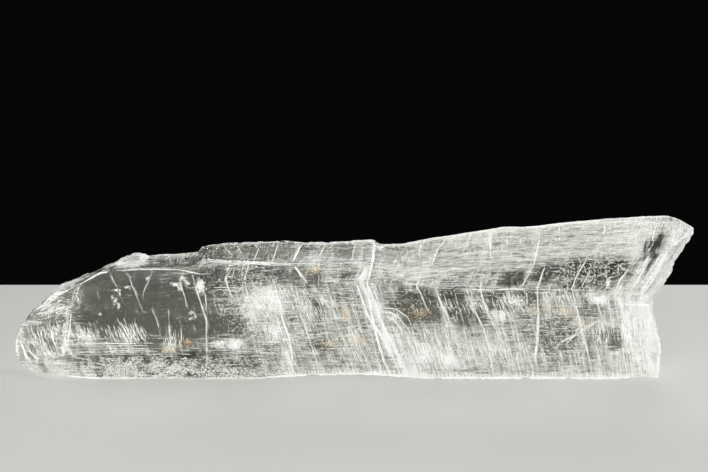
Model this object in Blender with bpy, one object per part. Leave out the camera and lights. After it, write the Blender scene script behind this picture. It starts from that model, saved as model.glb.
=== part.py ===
"""A natural blade of clear selenite, standing on its long narrow side.

One piece of gypsum, a contact twin: the twin plane runs lengthwise a little above
the middle, and the two halves part at the right end in a V-shaped notch. The broad
front and back are cleavage faces, the top is a striated bevel, the left end is
broken to a wedge, and small crystals crust the foot of the front.

Frame: +X along the blade to the notched end, +Z up, the front faces -Y.
The origin is under the middle of the blade, on the surface that it stands on.
Lengths below are in millimetres and become metres where the mesh is made.
"""

import math
import random

import bmesh
import bpy
import numpy as np
from mathutils import Euler, Vector

MM = 0.001
NAME = "selenite_blade"

# Driving dimensions
HALF_THICKNESS = 24.0
LEFT_TIP = -225.3
FAR = 60.0  # how far a cutter reaches past the blade

# Outlines along the blade, as (x, height)
RIDGE = [
    (-226, 21), (-221, 32), (-216, 38), (-211, 45), (-204, 49.5), (-200, 55),
    (-194, 60), (-187, 62), (-171, 68.5), (-155, 76), (-146, 80.5), (-140, 80.5),
    (-136, 78.5), (-104, 80.3), (-100, 84.5), (-91, 86), (-46, 88), (-36, 87),
    (-9, 87.3), (8, 88.6), (13, 88.5), (20, 85.2), (34, 86), (52, 89.5), (83, 94.5),
    (99, 97.2), (115, 97.2), (139, 100), (162, 102), (189, 104), (207, 104.6),
    (215, 102), (223, 97.2), (232, 92),
]
UNDERSIDE = [
    (-226, 15.5), (-223, 8), (-220, 4.2), (-216.5, 1.6), (-211, 0), (-66, 0), (-35, 1.8),
    (-3, 2.8), (20, 2.2), (43, 0.5), (50, 0), (232, 0),
]
FACE_HEAD = [
    (-226, 19.5), (-221, 29), (-211, 40), (-200, 49), (-188, 56), (-175, 64.5),
    (-163, 71.5), (-134, 74.3), (-113, 74.3), (-104, 75), (-97, 80), (-83, 78.8),
    (-40, 76.8), (-16, 76.4), (2, 78), (29, 75.5), (60, 73.5), (94, 75.5), (132, 77),
    (174, 80), (207, 86), (232, 80),
]
TWIN_LINE = [(-227, 57), (-136, 61), (-83, 66.5), (8, 64.3), (81, 60.5), (195, 54.5)]

# Depths along the blade, as (x, y)
FRONT_FACE = [(-227, -7), (-214, -18), (-204, -24), (232, -24)]
BACK_FACE = [(-227, 6), (-214, 15), (-200, 22), (-60, 24.2), (232, 22)]
UNDER_FRONT = [
    (-227, -2.5), (-214, -5.5), (-202, -8), (-190, -13.5), (-180, -18.5), (-168, -21),
    (-60, -21.5), (232, -22.5),
]
UNDER_BACK = [(-227, 3), (-200, 8), (-170, 17), (232, 19)]
RIDGE_DEPTH = [(-227, -1.5), (-150, -1), (-100, 2), (232, 3)]
LEDGE_SHARE = [(-227, 1), (-130, 1), (-60, 0.35), (232, 0.35)]
SHELF_DEPTH = [(-101, 0), (-97, 3.2), (-20, 3.2), (20, 1), (34, 0)]

# Ledges at the foot of the front face: height, how far each lies behind the face, and
# the share of the blade's height that it never rises above
FOOT_LEDGES = [(15.5, 2.4, 0.16), (19.0, 1.3, 0.21), (23.5, 0.0, 0.26)]
TWIN_SHARE = 0.62  # the twin line never rises above this share of the height
TWIN_RIB = 0.3  # how far the front stands out along the twin line
SHELF_RISE = 0.2
RIDGE_WIDTH = 6.0
RIDGE_FALL = 1.2

# The back: shares of the height at its shoulder, its head and its foot
BACK_SHOULDER = 0.90
BACK_HEAD = 0.74
BACK_FOOT = 0.18
SHOULDER_DEPTH = 0.3  # share of the way from the back face to the ridge
BACK_FOOT_INSET = 0.8

# The upper bevel is striated: long steps run across it, each at a share of the way up
# that wanders a little along the blade.
BEVEL_STEPS = (0.20, 0.44, 0.68)
STEP_WIDTH = 0.9
STEP_FALL = 0.1
STEP_WANDER = 0.05
WANDER_LENGTH = 34.0
FULL_HEIGHT = 60.0  # where the blade is lower than this, its steps and ridge shrink too

# Sections stand at the bends of the outlines and at these places between them
EXTRA_SECTIONS = {-182.0, -163.0, -120.0, -68.0, 68.0}
SECTION_GAP = 2.4

# Flat breaks, each given by the corners (x, y, z) of its plane. Two in front and two
# behind bring the left end to a wedge, and the rest are shallow cleavage steps, deep
# at one edge and fading out at the other.
BREAKS = {
    "front_upper": [(-174, -21, 70), (-186, -21, 42), (-228, -3, 28), (-196, -3, 66)],
    "front_lower": [(-186, -21, 42), (-190, -21, 16), (-230, -1, 4), (-230, -4, 30)],
    "front_head": [(-149, -21.5, 78), (-110, -21.5, 79), (-118, -12, 88), (-144, -12, 88)],
    "front_end": [(174, -23, 51), (184, -23, -2), (215, -22, -2), (215, -22, 49)],
    "front_waist": [(-74, -23.1, 63), (-64, -23.1, 25), (44, -24.3, 30), (36, -24.3, 60)],
    "front_shoulder": [(2, -23.1, 66), (9, -23.1, 80), (74, -24.3, 73), (62, -24.3, 63)],
    "back_upper": [(-152, 21.5, 84), (-178, 20.5, 40), (-229, 4, 26), (-190, 2, 74)],
    "back_lower": [(-178, 20.5, 40), (-170, 19.5, -2), (-231, 2, 0), (-230, 4, 28)],
    "back_sheet": [(-190, 19, 44), (-46, 21.4, 33), (-40, 21, 80), (-166, 17, 92)],
    "back_foot": [(36, 24.4, 18), (230, 20.4, 22), (230, 18, -4), (52, 21.6, -4)],
    "back_head": [(88, 21, 64), (230, 17.5, 58), (230, 15, 110), (104, 18, 96)],
    "back_scar": [(-30, 24.4, 26), (20, 22.6, 24), (44, 24.4, 44), (4, 22.8, 52)],
}
# Left of TIP_FROM the breaks' blocks widen outward by TIP_SPREAD, to clear the tip
TIP_FROM = -200.0
TIP_SPREAD = 12.0

# The right end, from above the ridge down to below the foot. Each corner gives x and
# height at TIP_DEPTH, where the end reaches furthest, and how far x shifts for each
# millimetre of depth in front of that and behind it. The notch is its inmost corner.
TIP_DEPTH = 4.0
NOTCH = (199.4, 50.5, 0.33, -0.17)
RIGHT_END = [
    (215, 125, 0.50, -0.10), (215, 108, 0.50, -0.10), (219, 103, 0.55, 0.10),
    (224.3, 97, 0.55, 0.22), (224.2, 92.4, 0.60, 0.20), (222.3, 88, 0.62, 0.05),
    (219.8, 84.4, 0.62, 0), (217.2, 80, 0.60, -0.10), (213.6, 75, 0.58, -0.10),
    (212.2, 70.6, 0.60, -0.10), (210.9, 66.3, 0.66, -0.15), (207.9, 60.3, 0.72, -0.20),
    (204.4, 54.8, 0.66, -0.20), NOTCH, (198.6, 45, 0.26, -0.12), (200.2, 38, 0.22, -0.12),
    (202, 31, 0.20, -0.16), (203.4, 25, 0.20, -0.10), (205, 17.4, 0.27, -0.08),
    (203.8, 16.4, 0.24, -0.14), (205.2, 8.4, 0.27, -0.10), (203.6, 4.2, 0.22, -0.12),
    (204.6, -6, 0.24, -0.12),
]

# The right end breaks along its cleavage sheets: each sheet, given by the depth at which
# it ends, stands forward of the plain break or back from it by up to SHEET_SHIFT.
SHEET_ENDS = (-20.5, -16, -12.5, -7, -2.5, TIP_DEPTH, 8, 12.5, 17, 20.5)
SHEET_SHIFT = 1.5
SHEET_GAP = 0.12  # half the width of the slope between two sheets
SPLINTER = 0.8
CALM_DEPTH = 8.0  # sheets nearer than this to TIP_DEPTH shift less

# The crust: where its crystals stand, how large they are, and how they are stretched
CRUST_CRYSTALS = 74
CRUST_LEFT = -181.0
CRUST_RIGHT = -62.0
CRUST_MIDDLE = -150.0
CRUST_HEIGHTS = (3.6, 13.5)
CRUST_SIZE = (1.5, 3.5)
CRUST_SINK = 0.5
CRUST_STRETCH_X = (1.0, 1.7)
CRUST_STRETCH_Z = (0.7, 1.1)

# Chips along the edges; the ridge is named twice because it is chipped most
EDGE_CHIPS = 40
CHIP_CORNERS = 9
CHIP_SPAN = (-212, 205)
CHIP_LENGTH = (3, 8)
CHIP_BREADTH = (1.4, 2.6)
CHIPPED_EDGES = ("ridge", "ridge", "head", "foot", "back")
# How far (y, z) outside each edge the middle of a chip lies
CHIP_OFFSETS = {"ridge": (0, 0.6), "head": (-0.4, 0.6), "foot": (-0.8, 0.2), "back": (0.6, 0)}
SEED = 41


def along(points, x):
    """The value at x of a line through (x, value) points."""
    xs, values = zip(*points)
    return float(np.interp(x, xs, values))


def between(a, b, share):
    """The point that lies this share of the way from a to b."""
    return a[0] + (b[0] - a[0]) * share, a[1] + (b[1] - a[1]) * share


def section(x):
    """Corners (y, z) of the blade's outline at x, up the front and down the back."""
    top, under = along(RIDGE, x), along(UNDERSIDE, x)
    height = top - under
    front, back = along(FRONT_FACE, x), along(BACK_FACE, x)
    head_z = along(FACE_HEAD, x)
    ridge_y = along(RIDGE_DEPTH, x)
    ledge = along(LEDGE_SHARE, x)

    corners = [(along(UNDER_FRONT, x), under)]
    for z, behind, highest in FOOT_LEDGES:
        corners.append((front + behind * ledge, min(z, under + highest * height)))
    twin_z = min(along(TWIN_LINE, x), under + TWIN_SHARE * height)
    corners.append((front - TWIN_RIB, twin_z))

    head = (front, head_z)
    shelf = (front + along(SHELF_DEPTH, x), head_z + SHELF_RISE)
    ridge = (ridge_y, top)
    slimming = min(1, height / FULL_HEIGHT)
    corners += [head, shelf]
    for number, share in enumerate(BEVEL_STEPS):
        share += STEP_WANDER * math.sin(x / WANDER_LENGTH + 2 * number)
        step_y, step_z = between(shelf, ridge, share)
        corners.append((step_y, step_z))
        corners.append((step_y + STEP_WIDTH * slimming, step_z - STEP_FALL * slimming))
    corners += [ridge, (ridge_y + RIDGE_WIDTH * slimming, top - RIDGE_FALL * slimming)]

    shoulder_y = back - SHOULDER_DEPTH * (back - ridge_y)
    corners.append((shoulder_y, under + BACK_SHOULDER * height))
    corners += [(back, under + BACK_HEAD * height), (back, twin_z)]
    corners.append((back - BACK_FOOT_INSET, under + BACK_FOOT * height))
    corners.append((along(UNDER_BACK, x), under))
    return corners


def stations():
    """The x of each section: every bend of the ridge, and the bends of the other lines."""
    bends = {float(x) for x, _ in RIDGE + UNDERSIDE + SHELF_DEPTH}
    kept = [LEFT_TIP]
    for x in sorted(bends | EXTRA_SECTIONS):
        if x - kept[-1] > SECTION_GAP:
            kept.append(x)
    return kept


def new_object(name, mesh, collection):
    made = bpy.data.objects.new(name, mesh)
    collection.objects.link(made)
    return made


def mesh_from(bm, name):
    """A mesh data block in metres from a bmesh in millimetres."""
    bmesh.ops.recalc_face_normals(bm, faces=bm.faces)
    bmesh.ops.scale(bm, vec=(MM, MM, MM), verts=bm.verts)
    mesh = bpy.data.meshes.new(name)
    bm.to_mesh(mesh)
    bm.free()
    return mesh


def bridge(bm, ring, following):
    """A closed band of faces between two rings of the same count."""
    for i, corner in enumerate(ring):
        j = (i + 1) % len(ring)
        bm.faces.new((corner, ring[j], following[j], following[i]))


def lofted_blade(collection):
    """The whole blade before anything is broken off: a skin through its sections."""
    bm = bmesh.new()
    rings = []
    for x in stations():
        rings.append([bm.verts.new((x, y, z)) for y, z in section(x)])
    count = len(rings[0])
    for ring, following in zip(rings, rings[1:]):
        bridge(bm, ring, following)
    for ring in (rings[0], rings[-1]):
        middle = bm.verts.new(sum((corner.co for corner in ring), Vector()) / count)
        for i in range(count):
            bm.faces.new((ring[i], ring[(i + 1) % count], middle))
    bmesh.ops.triangulate(bm, faces=bm.faces)
    return new_object(NAME, mesh_from(bm, NAME), collection)


def hull(points, name, collection):
    """A convex block around the points."""
    bm = bmesh.new()
    for point in points:
        bm.verts.new(point)
    made = bmesh.ops.convex_hull(bm, input=bm.verts)
    inside = [v for v in made["geom_interior"] if isinstance(v, bmesh.types.BMVert)]
    bmesh.ops.delete(bm, geom=inside, context="VERTS")
    return new_object(name, mesh_from(bm, name), collection)


def break_cutters(collection):
    """Blocks that take off all that lies outside the flat breaks."""
    made = []
    for name, corners in BREAKS.items():
        outward = -FAR if name.startswith("front") else FAR
        reach = [(x - TIP_SPREAD * (x < TIP_FROM), outward, z) for x, _, z in corners]
        made.append(hull(corners + reach, "break_" + name, collection))
    return made


def end_corners(depth, shifts):
    """The corners (x, y, z) of the right end at this depth, and two out beyond it."""
    corners = []
    for (x, z, run_front, run_back), shift in zip(RIGHT_END, shifts):
        run = run_front if depth < TIP_DEPTH else run_back
        corners.append((x + (depth - TIP_DEPTH) * run + shift, depth, z))
    beyond = RIGHT_END[0][0] + 2 * FAR
    return corners + [(beyond, depth, RIGHT_END[-1][1]), (beyond, depth, RIGHT_END[0][1])]


def right_end_cutter(collection, dice):
    """The solid that cuts the right end: a blunt wedge in plan, stepped sheet by sheet."""
    bm = bmesh.new()
    rings = []
    edges = (-FAR, *SHEET_ENDS, FAR)
    for start, end in zip(edges, edges[1:]):
        freedom = min(1, abs((start + end) / 2 - TIP_DEPTH) / CALM_DEPTH)
        sheet = dice.uniform(-SHEET_SHIFT, SHEET_SHIFT) * freedom
        shifts = [sheet + dice.uniform(-SPLINTER, SPLINTER) * freedom for _ in RIGHT_END]
        for depth in (start + SHEET_GAP, end - SHEET_GAP):
            rings.append([bm.verts.new(corner) for corner in end_corners(depth, shifts)])
    for ring, following in zip(rings, rings[1:]):
        bridge(bm, ring, following)
    bm.faces.new(rings[0])
    bm.faces.new(rings[-1])
    bmesh.ops.triangulate(bm, faces=bm.faces)
    return new_object("right_end", mesh_from(bm, "right_end"), collection)


def edge_place(edge, x, dice):
    """A point just outside this long edge of the blade at x."""
    if edge == "ridge":
        y, z = along(RIDGE_DEPTH, x) + dice.uniform(-1, RIDGE_WIDTH), along(RIDGE, x)
    elif edge == "head":
        y, z = along(FRONT_FACE, x), along(FACE_HEAD, x)
    elif edge == "foot":
        y, z = along(UNDER_FRONT, x), along(UNDERSIDE, x)
    else:
        y, z = along(BACK_FACE, x), BACK_HEAD * along(RIDGE, x)
    out_y, out_z = CHIP_OFFSETS[edge]
    return x, y + out_y, z + out_z


def chip_cutters(collection, dice):
    """Long flakes, as small hulls of random corners, that nick the edges of the blade."""
    made = []
    for number in range(EDGE_CHIPS):
        edge = dice.choice(CHIPPED_EDGES)
        middle = edge_place(edge, dice.uniform(*CHIP_SPAN), dice)
        length = dice.uniform(*CHIP_LENGTH)
        reach = (length, dice.uniform(*CHIP_BREADTH), dice.uniform(*CHIP_BREADTH))
        corners = []
        for _ in range(CHIP_CORNERS):
            way = Vector([dice.gauss(0, 1) for _ in range(3)]).normalized()
            corners.append([m + w * r for m, w, r in zip(middle, way, reach)])
        made.append(hull(corners, f"chip_{number}", collection))
    return made


def crust(collection, dice):
    """Small blocky crystals that stand out of the foot of the front, in one mesh."""
    bm = bmesh.new()
    for _ in range(CRUST_CRYSTALS):
        x = dice.triangular(CRUST_LEFT, CRUST_RIGHT, CRUST_MIDDLE)
        z = dice.uniform(*CRUST_HEIGHTS)
        foot = along(UNDER_FRONT, x)
        ledge_z, behind, _ = FOOT_LEDGES[0]
        ledge_y = along(FRONT_FACE, x) + behind * along(LEDGE_SHARE, x)
        side = dice.uniform(*CRUST_SIZE)
        y = max(foot + (ledge_y - foot) * z / ledge_z + CRUST_SINK, side - HALF_THICKNESS)
        made = bmesh.ops.create_cube(bm, size=side)["verts"]
        stretch = (dice.uniform(*CRUST_STRETCH_X), 1, dice.uniform(*CRUST_STRETCH_Z))
        bmesh.ops.scale(bm, vec=stretch, verts=made)
        turn = Euler([dice.uniform(0, math.pi) for _ in range(3)]).to_matrix()
        bmesh.ops.rotate(bm, matrix=turn, verts=made)
        bmesh.ops.translate(bm, vec=(x, y, z), verts=made)
    return new_object("crust_crystals", mesh_from(bm, "crust_crystals"), collection)


def combine(blade, other, operation):
    modifier = blade.modifiers.new(other.name, "BOOLEAN")
    modifier.operation = operation
    modifier.object = other
    modifier.use_self = operation == "UNION"
    other.hide_render = True
    other.display_type = "WIRE"


def gypsum_material():
    material = bpy.data.materials.new("clear_gypsum")
    material.use_nodes = True
    shader = material.node_tree.nodes["Principled BSDF"]
    shader.inputs["Base Color"].default_value = (0.93, 0.94, 0.90, 1)
    shader.inputs["Roughness"].default_value = 0.12
    shader.inputs["Metallic"].default_value = 0.0
    shader.inputs["IOR"].default_value = 1.52
    shader.inputs["Transmission Weight"].default_value = 1.0
    return material


def main():
    for old in list(bpy.data.objects):
        bpy.data.objects.remove(old, do_unlink=True)
    parts = bpy.data.collections.new("selenite crystal blade")
    cutters = bpy.data.collections.new("cutters")
    for collection in (parts, cutters):
        bpy.context.scene.collection.children.link(collection)

    dice = random.Random(SEED)
    blade = lofted_blade(parts)
    blade.data.materials.append(gypsum_material())
    for cutter in [*break_cutters(cutters), right_end_cutter(cutters, dice)]:
        combine(blade, cutter, "DIFFERENCE")
    combine(blade, crust(cutters, dice), "UNION")
    for cutter in chip_cutters(cutters, dice):
        combine(blade, cutter, "DIFFERENCE")


main()
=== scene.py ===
# Selenite crystal blade: one clear gypsum twin, white with cleavage inside, on a pale studio table.
# Lengths are in millimetres, and mm turns them to metres where something is made.
import math
import bpy
import numpy as np
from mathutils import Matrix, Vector


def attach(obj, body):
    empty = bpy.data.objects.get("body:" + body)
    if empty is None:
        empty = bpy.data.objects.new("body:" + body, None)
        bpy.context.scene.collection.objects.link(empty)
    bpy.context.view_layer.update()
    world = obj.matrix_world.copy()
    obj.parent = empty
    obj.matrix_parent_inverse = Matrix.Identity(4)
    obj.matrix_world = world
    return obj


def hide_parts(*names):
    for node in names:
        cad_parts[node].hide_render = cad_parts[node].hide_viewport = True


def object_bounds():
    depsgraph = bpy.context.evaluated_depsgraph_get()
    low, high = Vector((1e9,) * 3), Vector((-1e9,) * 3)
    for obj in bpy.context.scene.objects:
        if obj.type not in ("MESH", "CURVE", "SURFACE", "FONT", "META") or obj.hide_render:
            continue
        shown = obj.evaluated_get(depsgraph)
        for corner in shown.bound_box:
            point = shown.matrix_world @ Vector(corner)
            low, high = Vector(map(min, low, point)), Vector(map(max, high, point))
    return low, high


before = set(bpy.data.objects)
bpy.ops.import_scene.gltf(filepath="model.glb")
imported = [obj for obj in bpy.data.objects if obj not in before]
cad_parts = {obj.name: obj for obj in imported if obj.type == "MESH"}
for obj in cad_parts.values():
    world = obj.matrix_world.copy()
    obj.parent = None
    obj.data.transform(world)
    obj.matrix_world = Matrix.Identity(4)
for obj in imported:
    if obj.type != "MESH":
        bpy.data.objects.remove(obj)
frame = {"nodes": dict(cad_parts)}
cadBounds = [list(corner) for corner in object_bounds()]
mm = 0.001
dice = np.random.default_rng(29)
print("frame loaded:", ", ".join(frame["nodes"]))


def toLinear(hexColour):
    # an sRGB hex value as the linear colour that the shaders work in
    parts = np.array([int(hexColour[i:i + 2], 16) for i in (1, 3, 5)]) / 255
    linear = np.where(parts <= 0.04045, parts / 12.92, ((parts + 0.055) / 1.055) ** 2.4)
    return (*linear.tolist(), 1.0)


def newMaterial(name):
    # an empty material and its surface shader
    material = bpy.data.materials.new(name)
    material.use_nodes = True
    return material, material.node_tree.nodes["Principled BSDF"]


def addNode(material, kind, settings=None, links=None):
    # one shader node with its settings, and its inputs joined to other nodes' outputs or set to values
    node = material.node_tree.nodes.new("ShaderNode" + kind)
    for name, value in (settings or {}).items():
        setattr(node, name, value)
    for name, value in (links or {}).items():
        socket = node.inputs[name]
        if isinstance(value, bpy.types.NodeSocket):
            material.node_tree.links.new(value, socket)
        else:
            socket.default_value = value
    return node


def makePiece(name, points, faces, material, smooth=False):
    # a mesh object at the origin from an array of points in millimetres and a list of face arrays
    mesh = bpy.data.meshes.new(name)
    sizes = np.concatenate([np.full(len(part), part.shape[1]) for part in faces])
    mesh.vertices.add(len(points))
    mesh.vertices.foreach_set("co", (points * mm).astype(np.float32).ravel())
    mesh.loops.add(int(sizes.sum()))
    mesh.loops.foreach_set("vertex_index", np.concatenate([part.ravel() for part in faces]).astype(np.int32))
    mesh.polygons.add(len(sizes))
    mesh.polygons.foreach_set("loop_start", (np.cumsum(sizes) - sizes).astype(np.int32))
    mesh.polygons.foreach_set("use_smooth", np.full(len(sizes), smooth))
    mesh.update(calc_edges=True)
    mesh.materials.append(material)
    piece = bpy.data.objects.new(name, mesh)
    bpy.context.scene.collection.objects.link(piece)
    return piece


def addPiece(name, points, faces, material, smooth=False):
    # a piece of the crystal: it goes with the one body
    piece = makePiece(name, points, faces, material, smooth)
    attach(piece, "root")
    return piece


def insideCadBox(points):
    # points brought inside the CAD model's box, with a hair to spare
    low, high = np.array(cadBounds) / mm
    return np.clip(points, low + 0.02, high - 0.02)


def cellNumber(ix, iy, iz, seed):
    # a repeatable number from 0 to 1 for each cell of an endless lattice
    mixed = (ix * 73856093) ^ (iy * 19349663) ^ (iz * 83492791) ^ (seed * 97531)
    mixed = ((mixed ^ (mixed >> 13)) * 1274126177) & 0xffffffff
    mixed = ((mixed ^ (mixed >> 15)) * 668265263) & 0xffffffff
    return ((mixed ^ (mixed >> 16)) & 0xffffff) / 0xffffff


def noise(x, y=0.0, z=0.0, seed=0):
    # smooth noise from -1 to 1: the eight cell corners' numbers, blended by eased distances
    x, y, z = np.broadcast_arrays(np.asarray(x, float), y, z)
    base = [np.floor(v).astype(np.int64) for v in (x, y, z)]
    ease = [(v - b) ** 2 * (3 - 2 * (v - b)) for v, b in zip((x, y, z), base)]
    total = 0.0
    for dx in (0, 1):
        for dy in (0, 1):
            for dz in (0, 1):
                share = np.where(dx, ease[0], 1 - ease[0]) * np.where(dy, ease[1], 1 - ease[1])
                share = share * np.where(dz, ease[2], 1 - ease[2])
                total = total + share * cellNumber(base[0] + dx, base[1] + dy, base[2] + dz, seed)
    return total * 2 - 1


def rail(points, x):
    # the value at x of a line through (x, value) points
    xs, values = zip(*points)
    return np.interp(x, xs, values)


def bladeRails(x, *names):
    # the values at x of the blade's rails with these names
    return [rail(blade[name], x) for name in names]


def easeStep(start, end, value):
    # 0 up to start, 1 from end on, eased between; it falls where start is the larger
    share = np.clip((value - start) / (end - start), 0, 1)
    return share * share * (3 - 2 * share)


# the blade's own shape: rails of (x, value) along it, and the steps of its sections
blade = {
    "ridge": [
        (-226, 21), (-221, 32), (-216, 38), (-211, 45), (-204, 49.5), (-200, 55), (-194, 60), (-187, 62),
        (-171, 68.5), (-155, 76), (-146, 80.5), (-140, 80.5), (-136, 78.5), (-104, 80.3), (-100, 84.5),
        (-91, 86), (-46, 88), (-36, 87), (-9, 87.3), (8, 88.6), (13, 88.5), (20, 85.2), (34, 86),
        (52, 89.5), (83, 94.5), (99, 97.2), (115, 97.2), (139, 100), (162, 102), (189, 104), (207, 104.6),
        (215, 102), (223, 97.2), (232, 92),
    ],
    "underside": [
        (-226, 15.5), (-223, 8), (-220, 4.2), (-216.5, 1.6), (-211, 0), (-66, 0), (-35, 1.8),
        (-3, 2.8), (20, 2.2), (43, 0.5), (50, 0), (232, 0),
    ],
    "faceHead": [
        (-226, 19.5), (-221, 29), (-211, 40), (-200, 49), (-188, 56), (-175, 64.5), (-163, 71.5),
        (-134, 74.3), (-113, 74.3), (-104, 75), (-97, 80), (-83, 78.8), (-40, 76.8), (-16, 76.4), (2, 78),
        (29, 75.5), (60, 73.5), (94, 75.5), (132, 77), (174, 80), (207, 86), (232, 80),
    ],
    "twinLine": [(-227, 57), (-136, 61), (-83, 66.5), (8, 64.3), (81, 60.5), (195, 54.5)],
    "frontFace": [(-227, -7), (-214, -18), (-204, -24), (232, -24)],
    "backFace": [(-227, 6), (-214, 15), (-200, 22), (-60, 24.2), (232, 22)],
    "underFront": [
        (-227, -2.5), (-214, -5.5), (-202, -8), (-190, -13.5), (-180, -18.5), (-168, -21),
        (-60, -21.5), (232, -22.5),
    ],
    "underBack": [(-227, 3), (-200, 8), (-170, 17), (232, 19)],
    "ridgeDepth": [(-227, -1.5), (-150, -1), (-100, 2), (232, 3)],
    "ledgeShare": [(-227, 1), (-130, 1), (-60, 0.35), (232, 0.35)],
    "shelfDepth": [(-101, 0), (-97, 3.2), (-20, 3.2), (20, 1), (34, 0)],
    "footLedges": [(15.5, 2.4), (19.0, 1.3), (23.5, 0.0)],
    "ridgeWidth": 6.0,
    "bevelSteps": (0.20, 0.44, 0.68),
    "stepWidth": 0.9,
    "leftTip": -225.3,
    "fullHeight": 60,  # lower sections have smaller steps
    "twinLimit": 0.62,  # these limits are shares of the section's height
    "ledgeLimit": 0.16,
    "ledgeLimitStep": 0.05,
    "faceLean": 0.3,  # how far the front face stands out at the twin plane
    "shelfRise": 0.2,
    "stepSwing": 0.05,  # how the bevel's steps wander up and down along the blade
    "swingLength": 34,
    "stepFall": 0.1,
    "ridgeFall": 1.2,
    "shoulder": (0.3, 0.90),  # how far forward of the back face, and how high
    "backHead": 0.74,
    "backFoot": (0.8, 0.18),
    "footTop": 19,
    "rings": 400,
}
# how many faces lie between one corner of the section and the next, from the front foot round to it again
sideFaces = (16, 5, 6, 46, 18, 2, 8, 1, 9, 1, 9, 1, 10, 5, 10, 10, 16, 30, 14, 14)

# flat breaks: the side that each cuts, and its outline (x, y, z), whose first three corners give the plane
breaks = [
    ("front", [(-174, -21, 70), (-186, -21, 42), (-228, -3, 28), (-196, -3, 66)]),
    ("front", [(-186, -21, 42), (-190, -21, 16), (-230, -1, 4), (-230, -4, 30)]),
    ("front", [(-149, -21.5, 78), (-110, -21.5, 79), (-118, -12, 88), (-144, -12, 88)]),
    ("front", [(174, -23, 51), (184, -23, -2), (215, -22, -2), (215, -22, 49)]),
    ("front", [(-74, -23.1, 63), (-64, -23.1, 25), (44, -24.3, 30), (36, -24.3, 60)]),
    ("front", [(2, -23.1, 66), (9, -23.1, 80), (74, -24.3, 73), (62, -24.3, 63)]),
    ("back", [(-152, 21.5, 84), (-178, 20.5, 40), (-229, 4, 26), (-190, 2, 74)]),
    ("back", [(-178, 20.5, 40), (-170, 19.5, -2), (-231, 2, 0), (-230, 4, 28)]),
    ("back", [(-190, 19, 44), (-46, 21.4, 33), (-40, 21, 80), (-166, 17, 92)]),
    ("back", [(36, 24.4, 18), (230, 20.4, 22), (230, 18, -4), (52, 21.6, -4)]),
    ("back", [(88, 21, 64), (230, 17.5, 58), (230, 15, 110), (104, 18, 96)]),
    ("back", [(-30, 24.4, 26), (20, 22.6, 24), (44, 24.4, 44), (4, 22.8, 52)]),
]

rightEnd = {
    "tipDepth": 4.0,
    # x, height, and the shift of x for each millimetre in front of tipDepth and behind it
    "corners": [
        (204.6, -6, 0.24, -0.12), (203.6, 4.2, 0.22, -0.12), (205.2, 8.4, 0.27, -0.10),
        (203.8, 16.4, 0.24, -0.14), (205, 17.4, 0.27, -0.08), (203.4, 25, 0.20, -0.10),
        (202, 31, 0.20, -0.16), (200.2, 38, 0.22, -0.12), (198.6, 45, 0.26, -0.12),
        (199.4, 50.5, 0.33, -0.17), (204.4, 54.8, 0.66, -0.20), (207.9, 60.3, 0.72, -0.20),
        (210.9, 66.3, 0.66, -0.15), (212.2, 70.6, 0.60, -0.10), (213.6, 75, 0.58, -0.10),
        (217.2, 80, 0.60, -0.10), (219.8, 84.4, 0.62, 0), (222.3, 88, 0.62, 0.05),
        (224.2, 92.4, 0.60, 0.20), (224.3, 97, 0.55, 0.22), (219, 103, 0.55, 0.10),
        (215, 108, 0.50, -0.10),
    ],
    "sheetEnds": (-20.5, -16, -12.5, -7, -2.5, 4, 8, 12.5, 17, 20.5),  # depths between broken sheets
    "sheetShift": 1.5,
    "crumbs": [(3, 1.8, 1.3, 5), (6, 5, 1.5, 6), (1.3, 1.3, 0.7, 7)],  # pitch in y and z, depth, seed
    "plainX": 212,  # where the rings would end if the end were flat
    "pullFrom": 0.72,  # the share of the length at which they start to follow it
    "capRings": 26,
    "capMiddle": (0.0, 48.0),
}


def sectionCorners(x):
    # the corners (y, z) of the section at each x, up the front, over the ridge and down the back
    ridgeZ, ridgeY, headZ, under = bladeRails(x, "ridge", "ridgeDepth", "faceHead", "underside")
    front, back = bladeRails(x, "frontFace", "backFace")
    height = ridgeZ - under
    slimming = np.minimum(1, height / blade["fullHeight"])
    twinZ = np.minimum(rail(blade["twinLine"], x), under + blade["twinLimit"] * height)
    corners = [(rail(blade["underFront"], x), under)]
    for number, (z, behind) in enumerate(blade["footLedges"]):
        limit = blade["ledgeLimit"] + blade["ledgeLimitStep"] * number
        high = np.minimum(z, under + limit * height)
        corners.append((front + behind * rail(blade["ledgeShare"], x), high))
    corners.append((front - blade["faceLean"], twinZ))
    shelfY, shelfZ = front + rail(blade["shelfDepth"], x), headZ + blade["shelfRise"]
    corners += [(front, headZ), (shelfY, shelfZ)]
    for number, share in enumerate(blade["bevelSteps"]):
        share = share + blade["stepSwing"] * np.sin(x / blade["swingLength"] + 2 * number)
        stepY, stepZ = shelfY + (ridgeY - shelfY) * share, shelfZ + (ridgeZ - shelfZ) * share
        corners.append((stepY, stepZ))
        corners.append((stepY + blade["stepWidth"] * slimming, stepZ - blade["stepFall"] * slimming))
    corners.append((ridgeY, ridgeZ))
    corners.append((ridgeY + blade["ridgeWidth"] * slimming, ridgeZ - blade["ridgeFall"] * slimming))
    forward, shoulderHigh = blade["shoulder"]
    footIn, footHigh = blade["backFoot"]
    corners.append((back - forward * (back - ridgeY), under + shoulderHigh * height))
    corners += [(back, under + blade["backHead"] * height), (back, twinZ)]
    corners += [(back - footIn, under + footHigh * height), (rail(blade["underBack"], x), under)]
    return corners


def onSection(x):
    # grid of (y, z) for a grid of x: column by column along the straight sides between the corners
    y, z = np.empty_like(x), np.empty_like(x)
    start = 0
    for side, count in enumerate(sideFaces):
        columns = slice(start, start + count)
        corners = sectionCorners(x[:, columns])
        (y0, z0), (y1, z1) = corners[side], corners[(side + 1) % len(corners)]
        share = np.arange(count) / count
        y[:, columns], z[:, columns] = y0 + (y1 - y0) * share, z0 + (z1 - z0) * share
        start += count
    return y, z


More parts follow.
